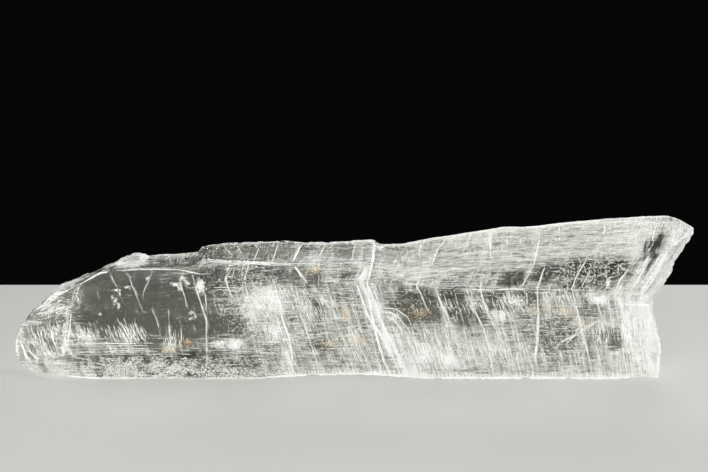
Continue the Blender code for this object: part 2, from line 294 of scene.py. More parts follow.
def insideOutline(x, z, outline):
    # true where (x, z) lies in a convex outline: on the same side of every edge
    turns = []
    for (x0, z0), (x1, z1) in zip(outline, outline[1:] + outline[:1]):
        turns.append((x1 - x0) * (z - z0) - (z1 - z0) * (x - x0) > 0)
    return np.all(turns, axis=0) | ~np.any(turns, axis=0)


def applyBreaks(x, y, z):
    # every point outside a break's plane, within the break's outline, is brought back to the plane
    for side, corners in breaks:
        first, second, third = np.array(corners[:3], float)
        normal = np.cross(second - first, third - first)
        plane = first[1] - (normal[0] * (x - first[0]) + normal[2] * (z - first[2])) / normal[1]
        inside = insideOutline(x, z, [(cx, cz) for cx, _, cz in corners])
        cut = np.maximum(y, plane) if side == "front" else np.minimum(y, plane)
        y = np.where(inside, cut, y)
    return y


def endReach(y, z):
    # x of the right end's broken surface at (y, z): its profile, leaning with depth, stepped sheet by
    # sheet, less the crumbling
    xs, zs, frontRuns, backRuns = zip(*rightEnd["corners"])
    depth = y - rightEnd["tipDepth"]
    run = np.where(depth < 0, np.interp(z, zs, frontRuns), np.interp(z, zs, backRuns))
    sheet = np.searchsorted(rightEnd["sheetEnds"], y)
    freedom = np.minimum(1, np.abs(depth) / 8)
    step = noise(sheet * 7.3, z / 9, 0.5, 3) * rightEnd["sheetShift"] * freedom
    crumble = 0
    for pitchY, pitchZ, deep, seed in rightEnd["crumbs"]:
        crumble = crumble + np.abs(noise(y / pitchY, z / pitchZ, 0, seed)) * deep
    return np.interp(z, zs, xs) + depth * run + step - crumble + 1.0


def bladeGrid():
    # the skin as rings of points from the left tip on: evenly spaced, then drawn more and more to the
    # right end's broken surface, whose x depends on where the ring's points are
    along = np.linspace(0, 1, blade["rings"])[:, None]
    plain = blade["leftTip"] + along * (rightEnd["plainX"] - blade["leftTip"])
    x = plain = np.repeat(plain, sum(sideFaces), 1)
    pull = np.clip((along - rightEnd["pullFrom"]) / (1 - rightEnd["pullFrom"]), 0, 1) ** 1.5
    for _ in range(5):
        y, z = onSection(x)
        x = plain + pull * (endReach(y, z) - rightEnd["plainX"])
    y, z = onSection(x)
    return x, applyBreaks(x, y, z), z


def closeRings(x, y, z):
    # caps: each end ring shrinks towards a point, and on the right it follows the broken surface
    shrink = np.linspace(1, 0, rightEnd["capRings"] + 1)[1:-1, None]
    middleY, middleZ = rightEnd["capMiddle"]
    rightY, rightZ = middleY + (y[-1] - middleY) * shrink, middleZ + (z[-1] - middleZ) * shrink
    leftShrink = np.array([0.33, 0.66])[:, None]
    leftY = y[0].mean() + (y[0] - y[0].mean()) * leftShrink
    leftZ = z[0].mean() + (z[0] - z[0].mean()) * leftShrink
    leftX = np.full_like(leftY, blade["leftTip"])
    x = np.vstack([leftX, x, endReach(rightY, rightZ)])
    return x, np.vstack([leftY, y, rightY]), np.vstack([leftZ, z, rightZ])


def skinMesh(x, y, z):
    # the skin's points and faces: quads between the rings, and a fan of triangles to a point at each end
    rows, columns = x.shape
    index = np.arange(rows * columns).reshape(rows, columns)
    following = np.roll(index, -1, 1)
    quads = np.stack([index[:-1], index[1:], following[1:], following[:-1]], -1).reshape(-1, 4)
    leftPoint, rightPoint = rows * columns, rows * columns + 1
    leftFan = np.stack([index[0], following[0], np.full(columns, leftPoint)], -1)
    rightFan = np.stack([following[-1], index[-1], np.full(columns, rightPoint)], -1)
    points = np.stack([x, y, z], -1).reshape(-1, 3)
    middles = np.array([points[index[0]].mean(0), points[index[-1]].mean(0)])
    return np.vstack([points, middles]), [quads, leftFan, rightFan]


# the directions in the crystal: cleavage leans one way above the twin plane, the other way below it
grain = {
    "leanAbove": [(-226, 0.15), (-60, 0.35), (60, 0.3), (120, 0.5), (170, 0.6), (232, 0.62)],
    "leanBelow": [(-226, 0.35), (-100, 0.3), (0, 0.32), (120, 0.25), (232, 0.12)],
    "below": 60,  # what the fibre coordinate gains from foot to twin plane, and from there to the ridge
    "above": 42,
}
# the flaws are sheets that spread and dip a little from front to back
sheets = {"frontY": -24, "dip": 0.107, "spread": 0.0008, "ridgeFade": 15}


def cleavageLean(x, z):
    # run of the cleavage in x for each millimetre of height: a chevron pointing left along the twin plane
    above = z > rail(blade["twinLine"], x)
    return np.where(above, rail(grain["leanAbove"], x), -rail(grain["leanBelow"], x))


def cleavageCoordinate(x, z):
    # the same value all along one cleavage line: x carried back to the twin plane along the lean
    return x - cleavageLean(x, z) * (z - rail(blade["twinLine"], x))


def fibreCoordinate(x, z):
    # the same value all along one fibre: by height from 0 at the foot to the twin plane and to the ridge
    twin, ridgeZ = bladeRails(x, "twinLine", "ridge")
    above = grain["below"] + grain["above"] * (z - twin) / (ridgeZ - twin)
    return np.where(z > twin, above, grain["below"] * z / twin)


# where the crystal is clear and where it is white, seen from the front
looks = {
    # clear windows: middle x, height, half width, half height, slant, clearness
    "windows": [
        (-138, 49, 41, 25, -0.10, 0.95), (-157, 31, 8, 4, 0, 0.9), (-84, 36, 14, 9, -0.2, 0.9),
        (-73, 85, 22, 6, 0.1, 1.0), (-43, 85, 13, 6, 0.3, 1.0), (-10, 84, 12, 4, 0.3, 0.5),
        (-57, 69, 38, 7, 0, 0.55), (-106, 31, 9, 5.5, 0, 0.95), (-89, 62, 9, 12, 0, 0.5),
        (41, 48, 15, 12, -0.3, 0.85), (67, 48, 8.5, 13, -0.35, 0.95), (80, 42, 5, 7, -0.3, 0.85),
        (94, 52, 11, 6.5, -0.3, 0.95), (110, 53, 8, 5, -0.3, 0.6), (131, 30, 11.5, 12, -0.2, 0.7),
        (168, 28, 5.5, 8, -0.15, 0.95), (160, 28, 4, 6, -0.15, 0.6), (154, 70, 24, 10.5, 0.4, 0.95),
        (124, 71, 8, 6, 0.4, 0.8), (101, 67, 8, 4.5, 0.3, 0.75), (194.5, 88, 6, 7.5, 0.6, 1.0),
        (190, 76, 1.8, 16, 0.6, 0.9), (188, 86.5, 2, 6, 0.4, 0.85), (28, 82.5, 10, 3.2, 0.1, 0.8),
        (-6, 71, 9, 4, 0.2, 0.4), (138, 93, 12, 1.6, 14, 0.7), (168, 97.5, 12, 1.5, 14, 0.7),
        (112, 88, 11, 1.4, 12, 0.6), (66, 84, 9, 1.4, 10, 0.6), (150, 86, 12, 1.2, 14, 0.5),
        (152, 48, 9, 6, -0.2, 0.45), (-158, 17.3, 25, 0.8, 0, 0.7), (-158, 21.4, 25, 0.7, 0, 0.6),
        (-200, 29, 12, 11, 0.2, 0.5), (-22.5, 45, 4, 7, -0.1, 1.0), (72, 5.8, 6, 1.0, 0, 0.9),
        (84, 4.6, 4, 0.9, 0, 0.9), (-42, 37, 3, 6, -0.3, 0.5), (-22, 24, 14, 4, 0, 0.3),
    ],
    # milky patches: middle x, height, half width, half height, slant, whiteness
    "clouds": [
        (-59, 57, 7, 6, -0.6, 0.12), (-51, 54, 2.6, 11, -0.4, 0.4), (-65, 45, 8, 7, 0.2, 0.12),
        (-53, 38, 8, 7, -0.4, 0.14), (-49, 31, 11, 5, 0, 0.14), (-43, 15, 3, 16, -0.1, 0.3),
        (29, 24, 11, 21, -0.4, 0.2), (43, 14, 20, 11, -0.4, 0.1), (-187, 25, 4.4, 13, 0.05, 0.36),
        (-185, 48, 1.4, 13, 0.25, 0.3), (-171, 28, 7, 5, -0.4, 0.24), (-141, 29, 8, 5, -0.4, 0.24),
        (-119, 27, 3, 9, 0, 0.3), (-158, 20, 30, 4.5, 0, 0.32), (-190, 8, 16, 5, 0, 0.4),
        (-150, 74.4, 9, 2.2, 8, 0.5), (157.5, 53, 4.2, 2.8, 0, 0.6), (163.5, 64, 1.6, 3, 0, 0.4),
        (63, 12.5, 5, 3, 0, 0.4), (95, 44, 6, 3.5, -0.3, 0.35), (-77, 24, 5, 3.5, 0, 0.4),
        (65, 20, 18, 14, -0.3, 0.1), (100, 18, 16, 13, -0.3, 0.1), (-150, 6, 45, 6, 0, 0.3),
        (12, 50, 4, 30, -0.35, 0.35), (9.5, 77, 1.7, 13, 0.3, 0.4), (45, 70, 2.5, 9, 0.3, 0.3),
        (86, 88, 2, 10, 0.3, 0.25), (-20, 79, 14, 2.5, 0, 0.15), (190, 74, 5, 18, 0.62, 0.25),
        (176, 68, 2.5, 10, 0.6, 0.25), (117, 86, 2, 12, 0.35, 0.2), (168, 26, 2, 26, -0.2, 0.25),
    ],
    "cloudSoft": 0.7,
    "ground": [
        (-226, 0.5), (-212, 0.34), (-192, 0.27), (-178, 0.24), (-105, 0.2), (-80, 0.34), (-45, 0.45),
        (0, 0.41), (60, 0.43), (110, 0.41), (165, 0.48), (180, 0.66), (232, 0.75),
    ],
    "satinFrom": [(20, 70), (42, 64), (68, 71), (94, 75), (132, 78), (158, 79), (174, 81), (232, 84)],
    "blockFrom": [(-5, 184), (27, 177.5), (53, 173), (60, 183), (104, 212)],
    "satin": 0.06,
    "paintedRimHighlight": 0.55,  # painted highlight: how much whiter the skin is made on its sharp edges
}


def patch(x, z, middleX, middleZ, halfX, halfZ, slant, soft=0.32):
    # 1 inside a rounded box with a slanted axis, where |along|^2.5 + |up|^2.5 stays under 1, eased to 0
    # past its uneven edge
    along, up = (x - middleX - slant * (z - middleZ)) / halfX, (z - middleZ) / halfZ
    streak = cleavageCoordinate(x, z)
    wobble = 0.16 * noise(x / 6, z / 6, 0, 11) + 0.22 * noise(streak / 2.6, z / 14, 0, 12)
    reach = (np.abs(along) ** 2.5 + np.abs(up) ** 2.5) ** 0.4
    return 1 - easeStep(1 - soft, 1 + soft, reach + wobble)


def inSatin(x, z, low, high, fromX):
    # 1 in the satin bevel, eased in over the heights low to high from its lower edge
    return easeStep(low, high, z - rail(looks["satinFrom"], x)) * (x > fromX)


def whiteness(x, z):
    # how white the crystal is at each (x, z), from 0 clear to 1 opaque: the ground less the satin, plus
    # the clouds, thinned by the windows, plus the white rims, and at the right the solid white block
    streak = cleavageCoordinate(x, z)
    white = rail(looks["ground"], x) - looks["satin"] * inSatin(x, z, -2, 3, 18)
    wisps = 1 + 0.9 * noise(streak / 2.1, z / 13, 0, 16)
    for *place, strength in looks["clouds"]:
        white = white + strength * wisps * patch(x, z, *place, soft=looks["cloudSoft"])
    for *place, clearness in looks["windows"]:
        white = white * (1 - clearness * patch(x, z, *place))
    headZ, ridgeZ, under = bladeRails(x, "faceHead", "ridge", "underside")
    headGap, ridgeGap, footGap = z - headZ, ridgeZ - z, z - under
    low = 1 - 0.85 * easeStep(3, 5.5, headGap)
    bevel = 0.22 * easeStep(-98, -112, x) + 0.4 * low * easeStep(-132, -140, x)
    white = white + easeStep(-1, 2, headGap) * bevel
    white = white + 0.45 * easeStep(1.6, 0.2, ridgeGap)  # the ridge
    white = white + 0.8 * easeStep(2.6, 0.6, footGap) * easeStep(-165, -185, x)  # the left end's foot
    white = white + 0.3 * easeStep(6, 1, footGap) * easeStep(-70, -20, x)  # the foot at the right
    white = white + 0.7 * easeStep(-217, -224, x)  # the left tip
    white = white + 0.4 * easeStep(3.2, 0.8, ridgeGap) * easeStep(-150, -165, x)  # the left end's ridge
    crustShare = easeStep(-50, -80, x) * easeStep(18, 13, z) * easeStep(-196, -186, x)
    white = np.minimum(white, 0.85) * (1 - 0.3 * crustShare)
    blockX = np.interp(z, *zip(*looks["blockFrom"]))
    fray = 5 * noise(streak / 2.2, z / 30, 0, 13) + 3 * noise(x / 9, z / 2.4, 0, 14)
    block = 0.9 - 0.16 * easeStep(14, 4, x - blockX) * (1 + noise(streak / 2.4, z / 25, 0, 15))
    return white + (block - white) * easeStep(-9, 8, x - blockX + fray)


def frontOfSheet(x, y, z):
    # (x, z) on the front skin of the sheet that passes through each point: the spread and the dip taken
    # back out, the dip fading towards the ridge
    behind = y - sheets["frontY"]
    dip = sheets["dip"] * behind * np.clip((rail(blade["ridge"], x) - z) / sheets["ridgeFade"], 0, 1)
    return x / (1 + sheets["spread"] * behind), z + dip


def frontAndBack(x, z):
    # the depth of the front and back skins at (x, z), taken as two straight slopes above the faces
    ridgeZ, ridgeY, headZ, under = bladeRails(x, "ridge", "ridgeDepth", "faceHead", "underside")
    front, back = bladeRails(x, "frontFace", "backFace")
    shelf = front + rail(blade["shelfDepth"], x)
    share = np.clip((z - headZ) / np.maximum(ridgeZ - headZ, 1), 0, 1)
    frontY = np.where(z > headZ, shelf + (ridgeY - shelf) * share, front)
    foot, footTop = rail(blade["underFront"], x), blade["footTop"]
    frontY = np.where(z < footTop, front + (foot - front) * (1 - z / footTop), frontY)
    height, backHead = ridgeZ - under, blade["backHead"]
    backShare = np.clip((z - under - backHead * height) / ((1 - backHead) * height), 0, 1)
    backY = back + (ridgeY + 4 - back) * backShare ** 1.4
    return applyBreaks(x, frontY, z), applyBreaks(x, backY, z)


def depthBetween(x, z, share):
    # y at a share of the way from the front skin to the back
    front, back = frontAndBack(x, z)
    return front + (back - front) * share


def inSheet(x, z, share):
    # the point of the sheet through (x, z) on the front face, at this share of the way to the back
    y = depthBetween(x, z, share)
    behind = y - sheets["frontY"]
    return np.stack([x * (1 + sheets["spread"] * behind), y, z - sheets["dip"] * behind], -1)


# how the cleavage outweighs the fibres along the blade, below and above the twin plane
cleavageRails = {
    "below": [(-100, 0.1), (-60, 0.55), (20, 0.85), (232, 0.95)],
    "above": [(-100, 0.1), (-40, 0.25), (30, 0.3), (150, 0.25), (180, 0.6), (232, 0.8)],
}


def cleavageShare(x, z):
    # 1 where leaning cleavage shows most, 0 where the fibres along the blade do
    above = z > rail(blade["twinLine"], x)
    share = np.where(above, rail(cleavageRails["above"], x), rail(cleavageRails["below"], x))
    return share * (1 - 0.7 * (inSatin(x, z, -3, 4, 18) * (x < 185)))


# relief on the skin: depth of each kind of roughness, and the pitch of its pattern
relief = {
    "fibre": 0.16, "fibrePitch": 1.9, "face": 0.05, "crust": 0.5, "crustPitch": 1.7, "ridge": 0.9,
    "foot": 0.8, "hackle": 0.9, "hacklePitch": 8.0, "ledge": 0.35, "ledgePitch": 7.0, "ledgeTop": 52,
    "faceFrom": 0.97,  # a cleavage face is where the normal points this much along y
    "sharp": 28,  # edges that turn more degrees than this aren't smoothed over
}


def gridNormals(place):
    # the outward normal at each grid point: the way along the blade crossed with the way round the ring
    alongWay = np.gradient(place, axis=0)
    aroundWay = np.roll(place, -1, 1) - np.roll(place, 1, 1)
    normal = np.cross(alongWay, aroundWay)
    return normal / np.maximum(np.linalg.norm(normal, axis=-1, keepdims=True), 1e-6)


def addRelief(x, y, z):
    # moves each point along its normal by the sum of the reliefs, each noise times its depth times the
    # share of the place where it shows
    place = np.stack([x, y, z], -1)
    normal = gridNormals(place)
    # striations along the bevel and low ripples on the cleavage faces
    fibre = fibreCoordinate(x, z) / relief["fibrePitch"]
    striation = noise(x / 46, fibre, y / 60, 21) + 0.5 * noise(x / 30, fibre / 0.55, 0, 22)
    onFace = np.abs(normal[..., 1]) > relief["faceFrom"]
    lift = np.where(onFace, relief["face"], relief["fibre"]) * striation
    # a granular crust at the foot of the left half
    crustShare = easeStep(-52, -80, x) * easeStep(17, 12, z) * (y < 0) * easeStep(-196, -186, x)
    grains = np.abs(noise(x / relief["crustPitch"], z / relief["crustPitch"], y / 2, 23))
    lift = lift + crustShare * relief["crust"] * (1.4 * grains - 0.3)
    # a ragged ridge, more so at the left
    nearRidge = easeStep(3.5, 0.5, rail(blade["ridge"], x) - z) * np.where(x < 20, 1.25, 0.4)
    ragged = np.abs(noise(x / 2.6, y / 4, 0, 24)) + 0.7 * np.abs(noise(x / 8, y / 7, 0, 27))
    lift = lift - nearRidge * relief["ridge"] * ragged
    # a chipped foot at the right
    footGap = z - rail(blade["underside"], x)
    chips = np.abs(noise(x / 2.4, y / 5, 0, 29)) + 1.6 * easeStep(0.25, 0.6, noise(x / 7, y / 9, 0, 30))
    lift = lift - easeStep(2.6, 0.4, footGap) * easeStep(-70, -40, x) * relief["foot"] * chips
    # hackles on the broken left end, and stepped ledges low on the right
    pitch = relief["hacklePitch"]
    hackle = np.abs(noise(x / pitch, z / pitch, y / 20, 25)) + 0.4 * np.abs(noise(x / 3, z / 3.4, y / 9, 26))
    lift = lift + easeStep(-176, -190, x) * relief["hackle"] * (0.35 - hackle)
    ledges = np.round(1.6 * noise(z / relief["ledgePitch"], x / 60, 0, 28)) * (z < relief["ledgeTop"])
    lift = lift - easeStep(170, 178, x) * relief["ledge"] * (0.6 + ledges)
    place = insideCadBox(place + normal * lift[..., None])
    return place[..., 0], place[..., 1], place[..., 2]


def edgeShare(x, y, z):
    # 1 where the skin turns sharply from one grid point to the next, as on the rim of a break, and 1 for
    # each end's middle point
    normal = gridNormals(np.stack([x, y, z], -1))
    turnAround = np.linalg.norm(np.roll(normal, -1, 1) - np.roll(normal, 1, 1), axis=-1)
    turnAlong = np.linalg.norm(np.gradient(normal, axis=0), axis=-1)
    share = easeStep(0.35, 1.0, np.maximum(turnAround, 2 * turnAlong))
    return np.concatenate([share.ravel(), [1, 1]])


def paintedRimHighlightAt(x, z):
    # painted highlight: how much whiter sharp edges are made, less on the left foot, along the face head and
    # the shelf above it, on the step at the lower right and across the left end
    paintedRimHighlight = looks["paintedRimHighlight"] - 0.35 * easeStep(-184, -196, x) * easeStep(22, 12, z)
    onHead = easeStep(4, 2, np.abs(z - rail(blade["faceHead"], x)))
    paintedRimHighlight = paintedRimHighlight - (0.35 * easeStep(-104, -98, x) + 0.2 * easeStep(-48, -34, x)) * onHead
    paintedRimHighlight = paintedRimHighlight - 0.4 * easeStep(-160, -150, x) * easeStep(-98, -104, x) * onHead
    paintedRimHighlight = paintedRimHighlight - 0.4 * easeStep(170, 175, x) * easeStep(5, 3, np.abs(z - 50))
    return paintedRimHighlight - 0.25 * easeStep(9, 5, np.abs(x + 187)) * easeStep(10, 16, z)


def storeLooks(piece, points, edges):
    # whiteness with a painted highlight on sharp edges added, how far the cleavage outweighs the fibres, how
    # far threads stand out, and the place along the grain in millimetres, as attributes of the points
    x, y, z = points.T
    # the whiteness gets a painted highlight where the skin turns sharply
    white = np.clip(whiteness(*frontOfSheet(x, y, z)) + paintedRimHighlightAt(x, z) * edges, 0, 1.1)
    # threads stand out most at middling whiteness, and fade in clear windows and in solid white
    spread = np.interp(white, [0, 0.2, 0.45, 0.7, 0.85, 1], [0.85, 1.5, 2.3, 2.6, 1.5, 0.9])
    stored = {"whiteness": white, "cleavageShare": cleavageShare(x, z), "threadSpread": spread}
    for name, values in stored.items():
        attribute = piece.data.attributes.new(name, "FLOAT", "POINT")
        attribute.data.foreach_set("value", values.astype(np.float32))
    lines = np.stack([cleavageCoordinate(x, z), fibreCoordinate(x, z), y], -1)
    attribute = piece.data.attributes.new("grainLines", "FLOAT_VECTOR", "POINT")
    attribute.data.foreach_set("vector", lines.astype(np.float32).ravel())


gypsum = {
    # patterns drawn out along the grain: cycles for each millimetre across the cleavage, across the fibres
    # and through the depth, and detail
    "patterns": {
        "fibreThread": ((0.030, 1.05, 0.09), 5.0),  # 33 mm long and 1 mm apart
        "cleavageThread": ((0.72, 0.042, 0.09), 5.0),  # 24 mm long and 1.4 mm apart
        "fibreBand": ((0.012, 0.33, 0.05), 2.0),  # 80 mm long and 3 mm apart
        "cleavageBand": ((0.25, 0.022, 0.05), 2.0),  # 45 mm long and 4 mm apart
        "clouds": ((0.11, 0.09, 0.05), 3.0),  # 10 mm across
    },
    "speckleScale": 620.0,  # specks 1.6 mm across
    "weights": {"Thread": 1.0, "Band": 0.3, "clouds": 0.3, "speckle": 0.2},
    "patternMiddle": -0.9, "base": 0.72,
    "opaqueFrom": 0.84, "tintFrom": 0.95, "opaqueAt": 1.95,
    "clear": "#e3e3df", "white": "#fdfdfb",
    "depthColour": "#dedfda", "depthDensity": 116.0, "ior": 1.52,
}


def clearGypsum():
    # cleaved gypsum with silky streaks: clear as old glass in the windows, white where it is full of
    # air-filled cleavage, so the eye reads threads along the blade and leaning threads across it
    material, shader = newMaterial("clearGypsum")
    place = addNode(material, "TexCoord").outputs["Object"]
    stored = {}
    for name in ("whiteness", "cleavageShare", "threadSpread", "grainLines"):
        stored[name] = addNode(material, "Attribute", {"attribute_name": name}).outputs
    drawn = {}
    for name, (stretch, detail) in gypsum["patterns"].items():
        scaled = addNode(material, "VectorMath", {"operation": "MULTIPLY"}, {
            0: stored["grainLines"]["Vector"], 1: stretch}).outputs["Vector"]
        drawn[name] = addNode(material, "TexNoise", {}, {
            "Vector": scaled, "Scale": 1.0, "Detail": detail, "Roughness": 0.72}).outputs["Fac"]
    drawn["speckle"] = addNode(material, "TexNoise", {}, {
        "Vector": place, "Scale": gypsum["speckleScale"], "Detail": 2.0, "Roughness": 0.6}).outputs["Fac"]
    for name in ("Thread", "Band"):  # the fibres' pattern or the cleavage's, by the share of each
        drawn[name] = addNode(material, "Mix", {"data_type": "FLOAT"}, {
            "Factor": stored["cleavageShare"]["Fac"],
            2: drawn["fibre" + name], 3: drawn["cleavage" + name]}).outputs[0]
    # level = whiteness + base + threadSpread x (the weighted patterns + patternMiddle)
    pattern = gypsum["patternMiddle"]
    for name, weight in gypsum["weights"].items():
        pattern = addNode(material, "Math", {"operation": "MULTIPLY_ADD"}, {
            0: drawn[name], 1: weight, 2: pattern}).outputs[0]
    ground = addNode(material, "Math", {"operation": "ADD"}, {
        0: stored["whiteness"]["Fac"], 1: gypsum["base"]}).outputs[0]
    level = addNode(material, "Math", {"operation": "MULTIPLY_ADD"}, {
        0: pattern, 1: stored["threadSpread"]["Fac"], 2: ground}).outputs[0]
    opacity = addNode(material, "MapRange", {"interpolation_type": "SMOOTHSTEP"}, {
        "Value": level, "From Min": gypsum["opaqueFrom"], "From Max": gypsum["opaqueAt"]}).outputs[0]
    links = material.node_tree.links
    for name, whenClear, whenWhite in (("Transmission Weight", 1.0, 0.04), ("Roughness", 0.05, 0.45)):
        value = addNode(material, "MapRange", {}, {
            "Value": opacity, "To Min": whenClear, "To Max": whenWhite}).outputs[0]
        links.new(value, shader.inputs[name])
    tone = addNode(material, "MapRange", {}, {
        "Value": level, "From Min": gypsum["tintFrom"], "From Max": gypsum["opaqueAt"]}).outputs[0]
    tint = addNode(material, "Mix", {"data_type": "RGBA"}, {
        "Factor": tone, 6: toLinear(gypsum["clear"]), 7: toLinear(gypsum["white"])}).outputs[2]
    bump = addNode(material, "Bump", {}, {
        "Strength": 0.5, "Distance": 0.0006, "Height": drawn["Thread"]}).outputs["Normal"]
    links.new(tint, shader.inputs["Base Color"])
    links.new(bump, shader.inputs["Normal"])
    shader.inputs["IOR"].default_value = gypsum["ior"]
    absorption = addNode(material, "VolumeAbsorption", {}, {
        "Color": toLinear(gypsum["depthColour"]), "Density": gypsum["depthDensity"]}).outputs["Volume"]
    links.new(absorption, material.node_tree.nodes["Material Output"].inputs["Volume"])
    return material


def matt(name, colour, roughness):
    # one even colour: each splinter is too small to show a pattern, and catches the light its own way
    material, shader = newMaterial(name)
    shader.inputs["Base Color"].default_value = toLinear(colour)
    shader.inputs["Roughness"].default_value = roughness
    shader.inputs["IOR"].default_value = gypsum["ior"]
    return material


def makeSkin():
    # the closed outer surface, with its relief and its stored looks
    x, y, z = closeRings(*addRelief(*bladeGrid()))
    points, faces = skinMesh(x, y, z)
    piece = addPiece("bladeSkin", points, faces, clearGypsum(), smooth=True)
    piece.data.set_sharp_from_angle(angle=math.radians(relief["sharp"]))
    piece.visible_shadow = False  # lamps reach the cleavage inside
    # the sharp-edge share sets where the painted edge highlight goes
    storeLooks(piece, points, edgeShare(x, y, z))
    return piece


skin = makeSkin()
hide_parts("selenite_blade")
print("skin:", len(skin.data.vertices), "points")

# slivers: the thin bright flakes that make up cleavage lines, fibres and milky veils; the gaps keep them
# in the skin, and the shifts are shares of half their width
sliver = {"skinGap": 0.7, "rightGap": 0.6, "leftGap": 3, "tipShift": 0.3, "edgeShift": 0.5}
field = {"left": -222, "right": 224, "low": 1, "high": 103}


def withinBlade(x, y, z):
    # true for points at least a gap inside the skin
    gap = sliver["skinGap"]
    front, back = frontAndBack(x, z)
    inside = (y > front + gap) & (y < back - gap)
    inside &= (z > rail(blade["underside"], x) + gap) & (z < rail(blade["ridge"], x) - gap)
    inside &= x < endReach(y, z) - gap - sliver["rightGap"]
    return inside & (x > blade["leftTip"] + sliver["leftGap"])


def unitVectors(ways):
    # each way divided by its length
    return ways / np.linalg.norm(ways, axis=1, keepdims=True)


def sliverMesh(centres, ways, lengths, widths):
    # each sliver is a closed thin splinter of four triangles: two tips along its way, and a flat middle
    # edge across it; the tips are moved one way through it and the edge the other, which gives it body
    ways = unitVectors(ways)
    across = unitVectors(np.cross(ways, np.array([0.0, 1.0, 0.0])))
    thick = np.cross(across, ways)
    half, wide = lengths[:, None] / 2, widths[:, None] / 2
    forward, back = thick * wide * sliver["tipShift"], thick * wide * sliver["edgeShift"]
    tips = [centres - ways * half + forward, centres + ways * half + forward]
    middles = [centres + across * wide - back, centres - across * wide - back]
    points = np.stack(tips + middles, 1).reshape(-1, 3)
    pattern = np.array([[0, 2, 1], [0, 1, 3], [0, 3, 2], [1, 2, 3]])
    faces = (np.arange(len(centres))[:, None, None] * 4 + pattern).reshape(-1, 3)
    return points, [faces]


def keepInside(centres, ways, lengths, widths):
    # drops the slivers that would come out of the crystal at either tip or in the middle
    reach = unitVectors(ways) * lengths[:, None]
    kept = np.all([withinBlade(*(centres + reach * end).T) for end in (-0.5, 0, 0.5)], axis=0)
    return centres[kept], ways[kept], lengths[kept], widths[kept]


def addSlivers(name, groups, material):
    # one piece from groups of slivers
    slivers = keepInside(*(np.concatenate(parts) for parts in zip(*groups)))
    addPiece(name, *sliverMesh(*slivers), material)
    print(name + ":", len(slivers[0]), "slivers")


def scatter(count, density):
    # random (x, z) places in the field, kept where a dice throw is under the density there
    found = np.empty((0, 2))
    while len(found) < count:
        x = dice.uniform(field["left"], field["right"], count * 2)
        z = dice.uniform(field["low"], field["high"], count * 2)
        keep = dice.uniform(0, 1, count * 2) < density(x, z)
        found = np.vstack([found, np.stack([x[keep], z[keep]], -1)])
    return found[:count, 0], found[:count, 1]


def followSkin(x, z, ways, share=1.0):
    # tips each way so that it runs along the front skin, fully where share is 1
    riseX = (frontAndBack(x + 1, z)[0] - frontAndBack(x - 1, z)[0]) / 2
    riseZ = (frontAndBack(x, z + 1)[0] - frontAndBack(x, z - 1)[0]) / 2
    tip = np.clip(riseX, -2, 2) * ways[:, 0] + np.clip(riseZ, -3, 3) * ways[:, 2]
    ways[:, 1] += tip * share
    return ways
